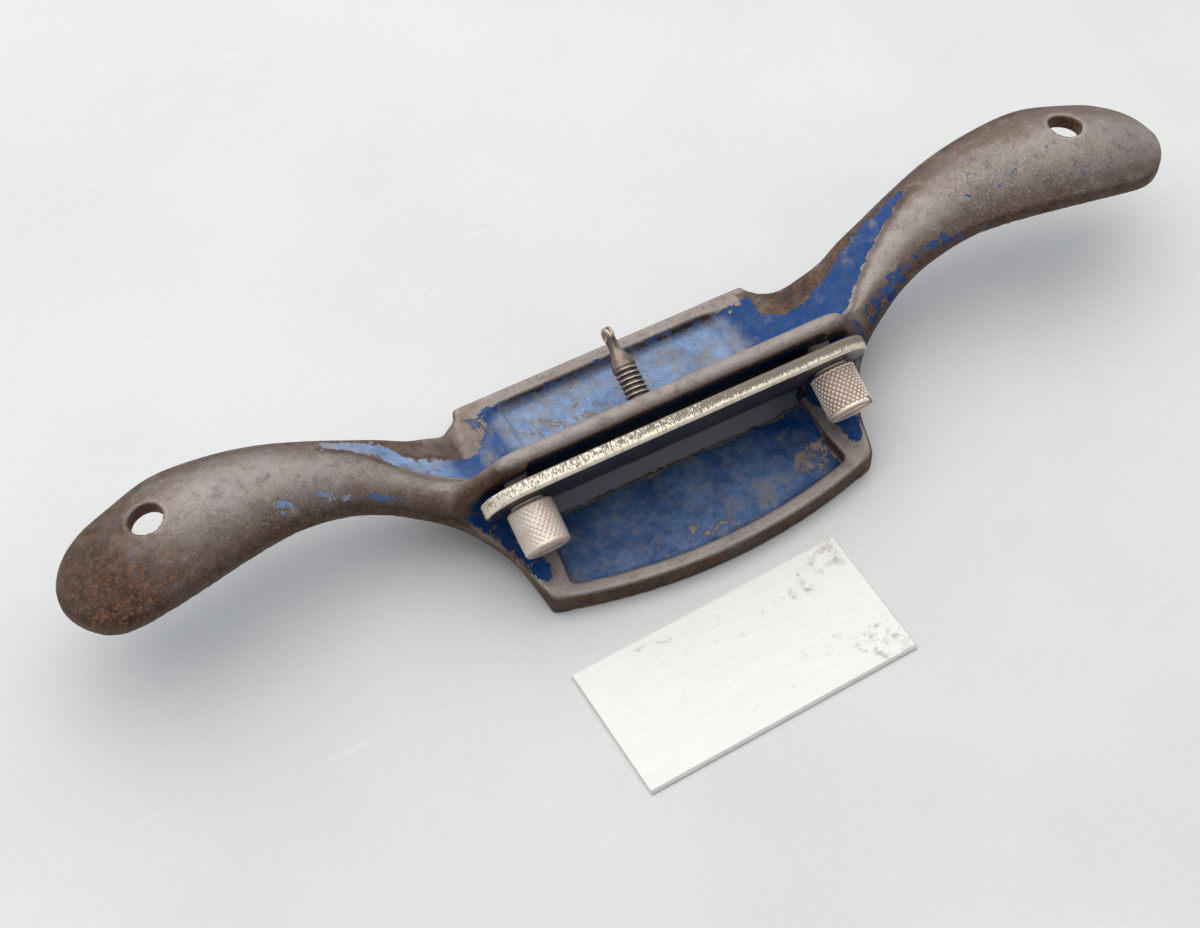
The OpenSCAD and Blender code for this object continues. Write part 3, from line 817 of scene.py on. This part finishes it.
# The top edge: wear and painted highlight, a little less towards the right end.
bar_top_wear_and_highlight = ease(BAR_UP / 2 - 0.8, BAR_UP / 2 - 0.3, bar_edge) * (bar_points[:, 1] > SCREW_UP)
bar_back = ease(BAR_GAP + 2.9, BAR_GAP + 1.4, bar_points[:, 2])
bar_back = bar_back * (0.7 + 0.3 * ease(-35, -10, bar_points[:, 0])
                       + 1.0 * ease(-10, 30, bar_points[:, 0]))
bar_top_wear_and_highlight = bar_top_wear_and_highlight * (1 - 0.12 * ease(0, 30, bar_points[:, 0]))
clamp_bar = make_piece(
    "clamp_bar_plated", from_bed(bar_points), bar_faces,
    {"rub_and_highlight": bar_rub_and_highlight, "top": bar_top_wear_and_highlight, "back": bar_back})


def worn_nickel():
    """Warm nickel plate, creamy on the rubbed top edge and light on its rounded edges, partly painted
    highlight, with dark marks along that edge's back.
    """
    f = Finish("worn_nickel_bar")
    cloud = f.noise(9.0, 4.0, 0.6)
    mark = f.noise(0.5, 4.0, 0.7, stretch=(0.6, 1.8, 1.8))
    pit = f.noise(2.2, 5.0, 0.7, shift=19.0)
    rub_and_highlight = f.mask("rub_and_highlight")
    top = f.mask("top")
    back = f.mask("back")
    plate = cloud.step(0.35, 0.65).tint(srgb(84, 80, 80), srgb(110, 104, 102))
    # Rounded edges and the top edge lighter: partly wear, partly painted highlight.
    plate = (rub_and_highlight.step(0.05, 0.5) * 0.9).tint(plate, srgb(214, 204, 188))
    plate = (top * 0.9).tint(plate, srgb(246, 232, 212))
    plate = (back.step(0.9, 2.3) * 0.60).tint(plate, srgb(120, 108, 96))
    marks = (mark + back * 0.14 + (pit - 0.5) * 0.3).step(0.575, 0.675) * top
    plate = (marks * 0.80).tint(plate, srgb(70, 57, 46))
    stain = pit.step(0.56, 0.68) * 0.55
    plate = stain.tint(plate, srgb(120, 104, 88))
    return f.set(
        Base_Color=plate, Metallic=0.80 - marks * 0.6 - top * 0.3,
        Roughness=0.32 + stain * 0.3 + marks * 0.3,
        Normal=f.bump(cloud * 0.04 - marks * 0.12, 0.7))


clamp_bar.data.materials.append(worn_nickel())
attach(clamp_bar, "clamp")
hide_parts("clamp_bar")


# Clamp screws.
# Two turned screws: a threaded shank, a collar against the bar, and a diamond knurled head with a
# slot across its end for a screwdriver. Nickel plated, dulled, and rusty in the slot. The left
# one's knurl is worn nearly smooth.
HEAD_RADIUS = 5.6
HEAD_LONG = 10.9
HEAD_START = BAR_GAP + BAR_THICK + 0.9
COLLAR_RADIUS = 4.0
COLLAR_START = BAR_GAP + BAR_THICK + 0.1
CLAMP_PITCH = 1.27
CLAMP_THREAD_DEEP = 0.38
KNURL_COUNT = 50
KNURL_PITCH = 0.75
SLOT_HALF = 0.8
SLOT_DEEP = 1.8


def wave(t):
    """A saw wave: 0 at whole numbers and 1 half way between them."""
    return 1 - np.abs(2 * (t - np.floor(t)) - 1)


def screw_field(x, up, out, knurl_deep, slot_turn):
    """Shank, collar and head about the screw's axis, less the slot. The knurl is the lesser of two
    saw waves that wind opposite ways, and the thread one saw wave that winds once a pitch."""
    radius = np.sqrt(x * x + up * up)
    turn = np.arctan2(up, x) / (2 * math.pi)
    thread = CLAMP_THREAD_DEEP * wave(out / CLAMP_PITCH - turn)
    shank = np.minimum(SCREW_RADIUS - thread - radius, COLLAR_START + 0.2 - out)
    shank = smooth_min(shank, out + BED_THICK, 0.5)
    collar = np.minimum(COLLAR_RADIUS - radius, np.minimum(out - COLLAR_START, HEAD_START + 0.2 - out))
    along_head = out - HEAD_START
    slant = along_head / (2 * KNURL_PITCH)
    knurl = np.minimum(wave(turn * KNURL_COUNT / 2 + slant), wave(turn * KNURL_COUNT / 2 - slant))
    plain_ends = ease(0.4, 0.9, along_head) * ease(HEAD_LONG - 1.0, HEAD_LONG - 1.5, along_head)
    side = HEAD_RADIUS - 0.03 - knurl_deep * (1 - np.minimum(1.0, 1.3 * knurl)) * plain_ends - radius
    head = smooth_min(side, np.minimum(along_head, HEAD_LONG - along_head), 1.0)
    across = up * math.cos(slot_turn) - x * math.sin(slot_turn)
    slot = np.minimum(SLOT_HALF - np.abs(across), along_head - HEAD_LONG + SLOT_DEEP)
    head = smooth_min(head, -slot, 0.3)
    return np.maximum(np.maximum(shank, collar), head)


def dulled_nickel(name, valley, flat, crest):
    """Pinkish dulled nickel, bright on the crests of the knurl and brown in its valleys, partly wear
    and dirt and partly painted highlight and shade, with rust in the slot."""
    f = Finish(name)
    cloud = f.noise(5.0, 4.0, 0.6)
    fine = f.noise(0.5, 3.0, 0.6)
    rub_and_highlight = f.mask("rub_and_highlight")
    dirt_and_shade = f.mask("dirt_and_shade")
    in_slot = f.mask("slot")
    plate = (cloud.step(0.35, 0.65) * 0.5).tint(flat, crest)
    # Crests painted bright and valleys dark: partly wear and dirt, partly painted highlight and shade.
    plate = rub_and_highlight.step(0.08, 0.45).tint(plate, crest)
    plate = (dirt_and_shade.step(0.05, 0.35) * 0.9).tint(plate, valley)
    rust = in_slot * fine.step(0.25, 0.5)
    plate = (rust * 0.85).tint(plate, srgb(120, 60, 34))
    return f.set(
        Base_Color=plate, Metallic=0.48 - rust * 0.4 - dirt_and_shade.step(0.1, 0.5) * 0.3,
        Roughness=0.34 + cloud * 0.12 + rust * 0.3,
        Normal=f.bump(fine * 0.03, 0.6))


for side_name, at_x, knurl_deep, slot_turn, colours in (
        ("left", -SCREW_X, 0.09, math.radians(15),
         (srgb(160, 140, 128), srgb(202, 184, 170), srgb(230, 216, 204))),
        ("right", SCREW_X, 0.42, math.radians(38),
         (srgb(132, 102, 88), srgb(224, 204, 190), srgb(255, 242, 230)))):

    def this_screw(x, up, out):
        return screw_field(x, up, out, knurl_deep, slot_turn)

    screw_points, screw_faces = surface_net(
        this_screw, (-6.0, -6.0, -4.4), (6.0, 6.0, HEAD_START + HEAD_LONG + 0.4),
        0.125)
    screw_rub_and_highlight, screw_dirt_and_shade, _ = rub_highlight_and_dirt_shade(this_screw, screw_points, 0.28)
    across = screw_points[:, 1] * math.cos(slot_turn) - screw_points[:, 0] * math.sin(slot_turn)
    in_slot = ease(SLOT_HALF + 0.25, SLOT_HALF - 0.05, np.abs(across))
    in_slot = in_slot * ease(-SLOT_DEEP - 0.3, -SLOT_DEEP + 0.2,
                             screw_points[:, 2] - HEAD_START - HEAD_LONG)
    clamp_screw = make_piece(
        side_name + "_clamp_screw_knurled",
        from_bed(screw_points + np.array([at_x, SCREW_UP, 0.0])), screw_faces,
        {"rub_and_highlight": screw_rub_and_highlight, "dirt_and_shade": screw_dirt_and_shade, "slot": in_slot})
    clamp_screw.data.materials.append(dulled_nickel(side_name + "_knurl_nickel", *colours))
    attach(clamp_screw, side_name + "_screw")
    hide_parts(side_name + "_clamp_screw")


# Bow screw.
# A steel screw through the foot of the wall that bends the blade. Its thread runs out into a
# thin waist, and its end is hammered flat and upright for finger and thumb.
BOW_RADIUS = 3.0
BOW_PITCH = 1.27
BOW_THREAD_DEEP = 0.50
BOW_THREAD = 16.0
BOW_WAIST = 21.2
BOW_WAIST_RADIUS = 1.1
BOW_LONG = 27.0
THUMB_HALF_WIDE = 3.5
THUMB_HALF_THICK = 0.62


def bow_field(x, up, out):
    """Thread, cone down to the waist and a flat fan that widens to its blunt end, run together.
    back is the distance behind the blade seat."""
    back = -out
    radius = np.sqrt(x * x + up * up)
    turn = np.arctan2(up, x) / (2 * math.pi)
    run_out = ease(BOW_THREAD + 0.6, BOW_THREAD - 0.6, back)
    thread = BOW_THREAD_DEEP * wave(back / BOW_PITCH - turn) * run_out
    taper = ease(BOW_THREAD - 0.2, BOW_WAIST + 1.5, back)
    neck_radius = BOW_RADIUS - thread - (BOW_RADIUS - BOW_WAIST_RADIUS) * taper
    stem = np.minimum(neck_radius - radius, BOW_WAIST + 2.5 - back)
    stem = smooth_min(stem, back - 0.2, 0.6)
    open_out = ease(BOW_THREAD + 2.5, BOW_LONG - 0.5, back)
    fan = BOW_WAIST_RADIUS + (THUMB_HALF_WIDE - BOW_WAIST_RADIUS) * open_out - np.abs(up)
    fan = smooth_min(fan, BOW_LONG - 0.15 * up * up - back, 2.4)
    fan = smooth_min(fan, back - BOW_THREAD - 1.0, 1.0)
    swell = THUMB_HALF_THICK + 0.42 * ease(BOW_WAIST + 1.0, BOW_LONG - 0.5, back)
    fan = smooth_min(fan, swell - np.abs(x), 0.7)
    return smooth_max(stem, fan, 1.6)


def tarnished_steel():
    """Brown steel, bronze and bright on the thread's crests and the rubbed thumb piece and dark in the
    grooves, partly wear and dirt and partly painted highlight and shade.
    """
    f = Finish("tarnished_bow_steel")
    cloud = f.noise(4.0, 4.0, 0.6)
    fine = f.noise(0.5, 3.0, 0.6)
    rub_and_highlight = f.mask("rub_and_highlight")
    dirt_and_shade = f.mask("dirt_and_shade")
    steel = cloud.step(0.35, 0.65).tint(srgb(92, 78, 70), srgb(134, 120, 110))
    # Painted highlight on crests and painted shade in the grooves, partly wear and dirt.
    steel = rub_and_highlight.step(0.05, 0.4).tint(steel, srgb(222, 200, 176))
    steel = (dirt_and_shade.step(0.05, 0.4) * 0.85).tint(steel, srgb(58, 38, 28))
    return f.set(
        Base_Color=steel, Metallic=0.85 - dirt_and_shade.step(0.1, 0.5) * 0.4,
        Roughness=0.32 + cloud * 0.14, Normal=f.bump(fine * 0.03, 0.6))


bow_points, bow_faces = surface_net(
    bow_field, (-3.6, -4.2, -27.6), (3.6, 4.2, 0.4), 0.15)
bow_rub_and_highlight, bow_dirt_and_shade, _ = rub_highlight_and_dirt_shade(bow_field, bow_points, 0.35)
bow_screw = make_piece("bow_screw_flattened", from_bed(bow_points + np.array([0, BOW_UP, 0])),
                       bow_faces, {"rub_and_highlight": bow_rub_and_highlight, "dirt_and_shade": bow_dirt_and_shade})
bow_screw.data.materials.append(tarnished_steel())
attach(bow_screw, "bow")
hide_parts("bow_screw")


# Scraper blade.
# A new-looking plate of ground tool steel lying on the bench in front of the tool, with a narrow
# bevel along its front edge and a few brown stains at its corners.
BLADE_LONG = 70.0
BLADE_DEEP = 33.8
BLADE_THICK = 1.0
BLADE_AT = (-9.9, -71.3)
BLADE_TURN = math.radians(3.3)
BLADE_BEVEL = 0.55
BLADE_STAINS = [(0.55, (-5, 17, 1), (36, 9, 3)), (1.0, (34, 16, 1), (11, 9, 3)),
                (1.0, (34, -14, 1), (9, 12, 3))]


def blade_shell(columns, rows):
    """Rings round the blade's outline carried through its thickness, closed by a middle point above
    and below. Each ring is the outline drawn in by a little at the two faces, and drawn in by the
    bevel at the front edge of the upper face."""
    half = np.array([BLADE_LONG / 2, BLADE_DEEP / 2])
    s = np.linspace(-1, 1, columns)
    t = np.linspace(-1, 1, rows)
    outline = np.concatenate([
        np.stack([s[:-1], -np.ones(columns - 1)], 1), np.stack([np.ones(rows - 1), t[:-1]], 1),
        np.stack([s[:0:-1], np.ones(columns - 1)], 1), np.stack([-np.ones(rows - 1), t[:0:-1]], 1)])
    layers = []
    for inset, height, bevel in ((0.12, 0.0, 0.0), (0.0, 0.12, 0.0), (0.0, 0.45, 0.0),
                                 (0.02, 0.88, 0.43), (0.12, 1.0, BLADE_BEVEL)):
        ring = outline * (half - inset)
        ring[:, 1] += bevel * (outline[:, 1] < -0.999)
        layers.append(np.column_stack([ring, np.full(len(ring), height * BLADE_THICK)]))
    n = len(outline)
    points = np.concatenate(layers + [[[0, 0, 0]], [[0, 0, BLADE_THICK]]])
    i = np.arange(n)
    j = (i + 1) % n
    faces = [[a, b, c, d] for k in range(4)
             for a, b, c, d in zip(k * n + i, k * n + j, (k + 1) * n + j, (k + 1) * n + i)]
    faces += [[a, b, 5 * n] for a, b in zip(j, i)]
    faces += [[a, b, 5 * n + 1] for a, b in zip(4 * n + i, 4 * n + j)]
    return points, faces


blade_points, blade_faces = blade_shell(71, 35)
turn_c, turn_s = math.cos(BLADE_TURN), math.sin(BLADE_TURN)
blade_points = np.stack([
    BLADE_AT[0] + turn_c * blade_points[:, 0] - turn_s * blade_points[:, 1],
    BLADE_AT[1] + turn_s * blade_points[:, 0] + turn_c * blade_points[:, 1],
    blade_points[:, 2]], axis=1)
blade_mesh = bpy.data.meshes.new("scraper_blade_ground")
blade_mesh.from_pydata((blade_points / 1000).tolist(), [], blade_faces)
in_blade = (np.array(blade_points) - (*BLADE_AT, 0)) @ np.array([
    [turn_c, -turn_s, 0], [turn_s, turn_c, 0], [0, 0, 1]])
blade_stain = np.maximum.reduce(
    [much * patch(in_blade, at, size) for much, at, size in BLADE_STAINS])
stain_layer = blade_mesh.attributes.new("stain", "FLOAT", "POINT")
stain_layer.data.foreach_set("value", blade_stain.astype(np.float32))
scraper_blade = bpy.data.objects.new("scraper_blade_ground", blade_mesh)
bpy.context.scene.collection.objects.link(scraper_blade)


def ground_steel():
    """Bright ground steel with fine lines along it and brown stains at the corners."""
    f = Finish("ground_blade_steel")
    line = f.noise(1.2, 4.0, 0.7, stretch=(9, 0.6, 1))
    stain = f.noise(3.2, 5.0, 0.7, shift=12.0)
    wide = f.noise(16.0, 2.0, 0.5, shift=40.0)
    steel = line.step(0.3, 0.7).tint(srgb(212, 210, 206), srgb(218, 217, 213))
    mark = (stain + f.mask("stain") * 0.16).step(0.61, 0.84) * wide.step(0.30, 0.55)
    steel = (mark * 0.75).tint(steel, srgb(136, 118, 106))
    return f.set(
        Base_Color=steel, Metallic=0.1, Roughness=0.50 + mark * 0.2,
        Normal=f.bump(line * 0.02, 0.5))


scraper_blade.data.materials.append(ground_steel())
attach(scraper_blade, "blade")
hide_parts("scraper_blade")


# Bench top.
# A pale painted board, faintly mottled and scratched, much larger than what the camera sees.
BENCH_HALF = 6.0


def pale_board():
    f = Finish("pale_bench_paint")
    wide = f.noise(90.0, 4.0, 0.55)
    fine = f.noise(1.6, 4.0, 0.7)
    scratch = f.noise(5.0, 5.0, 0.75, stretch=(6, 1, 1), shift=8.0)
    board = wide.step(0.3, 0.7).tint(srgb(195, 195, 195), srgb(202, 202, 200))
    board = (fine.step(0.35, 0.75) * 0.25).tint(board, srgb(184, 185, 183))
    board = (scratch.step(0.64, 0.76) * 0.6).tint(board, srgb(210, 210, 206))
    return f.set(Base_Color=board, Roughness=0.55 + fine * 0.1, Normal=f.bump(fine * 0.02, 0.5))


bench_mesh = bpy.data.meshes.new("bench_top")
bench_mesh.from_pydata(
    [(-BENCH_HALF, -BENCH_HALF, 0), (BENCH_HALF, -BENCH_HALF, 0),
     (BENCH_HALF, BENCH_HALF, 0), (-BENCH_HALF, BENCH_HALF, 0)], [], [(0, 1, 2, 3)])
bench_top = bpy.data.objects.new("bench_top", bench_mesh)
bench_top.data.materials.append(pale_board())
bpy.context.scene.collection.objects.link(bench_top)


# Studio.
# Cool surroundings, lighter behind the tool than in front of it, and one wide soft lamp high up
# behind it.
WORLD_LEVEL = 0.63
WORLD_SLOPE = 0.36
WORLD_COLOUR = (0.87, 0.935, 1.0, 1.0)
LAMP_COLOUR = (1.0, 0.98, 0.935)
LAMP_POWER = 23.5
LAMP_SIZE = 2.4
LAMP_AT = Vector((-0.04, 0.47, 0.97))

world = bpy.data.worlds.new("studio")
world.use_nodes = True
bpy.context.scene.world = world
tree = world.node_tree
background = tree.nodes["Background"]
background.inputs["Color"].default_value = WORLD_COLOUR
direction = tree.nodes.new("ShaderNodeTexCoord")
split = tree.nodes.new("ShaderNodeSeparateXYZ")
tree.links.new(direction.outputs["Generated"], split.inputs[0])
level = tree.nodes.new("ShaderNodeMapRange")
for key, value in (("From Min", -1.0), ("From Max", 1.0),
                   ("To Min", WORLD_LEVEL - WORLD_SLOPE), ("To Max", WORLD_LEVEL + WORLD_SLOPE)):
    level.inputs[key].default_value = value
tree.links.new(split.outputs["Y"], level.inputs["Value"])
tree.links.new(level.outputs[0], background.inputs["Strength"])

lamp_data = bpy.data.lights.new("soft_lamp", "AREA")
lamp_data.shape = "DISK"
lamp_data.size = LAMP_SIZE
lamp_data.energy = LAMP_POWER
lamp_data.color = LAMP_COLOUR
lamp = bpy.data.objects.new("soft_lamp", lamp_data)
bpy.context.scene.collection.objects.link(lamp)
lamp.matrix_world = (Matrix.Translation(LAMP_AT)
                     @ LAMP_AT.to_track_quat("Z", "Y").to_matrix().to_4x4())


# Camera.
# It stands where the photograph was taken from: to the left of the front and well above.
CAMERA_AZIMUTH = math.radians(-27.95)
CAMERA_ELEVATION = math.radians(56.68)
CAMERA_TARGET = Vector((-0.01359, -0.00902, 0.0))
CAMERA_DISTANCE = 0.6036
CAMERA_LENS = 77.0

to_camera = Vector((math.sin(CAMERA_AZIMUTH) * math.cos(CAMERA_ELEVATION),
                    -math.cos(CAMERA_AZIMUTH) * math.cos(CAMERA_ELEVATION),
                    math.sin(CAMERA_ELEVATION)))
camera_data = bpy.data.cameras.new("camera")
camera_data.sensor_width = 36.0
camera_data.lens = CAMERA_LENS
camera_data.clip_end = 50.0
camera = bpy.data.objects.new("camera", camera_data)
bpy.context.scene.collection.objects.link(camera)
camera.matrix_world = (Matrix.Translation(CAMERA_TARGET + to_camera * CAMERA_DISTANCE)
                       @ to_camera.to_track_quat("Z", "Y").to_matrix().to_4x4())
bpy.context.scene.camera = camera
bpy.context.scene.view_settings.view_transform = "Standard"
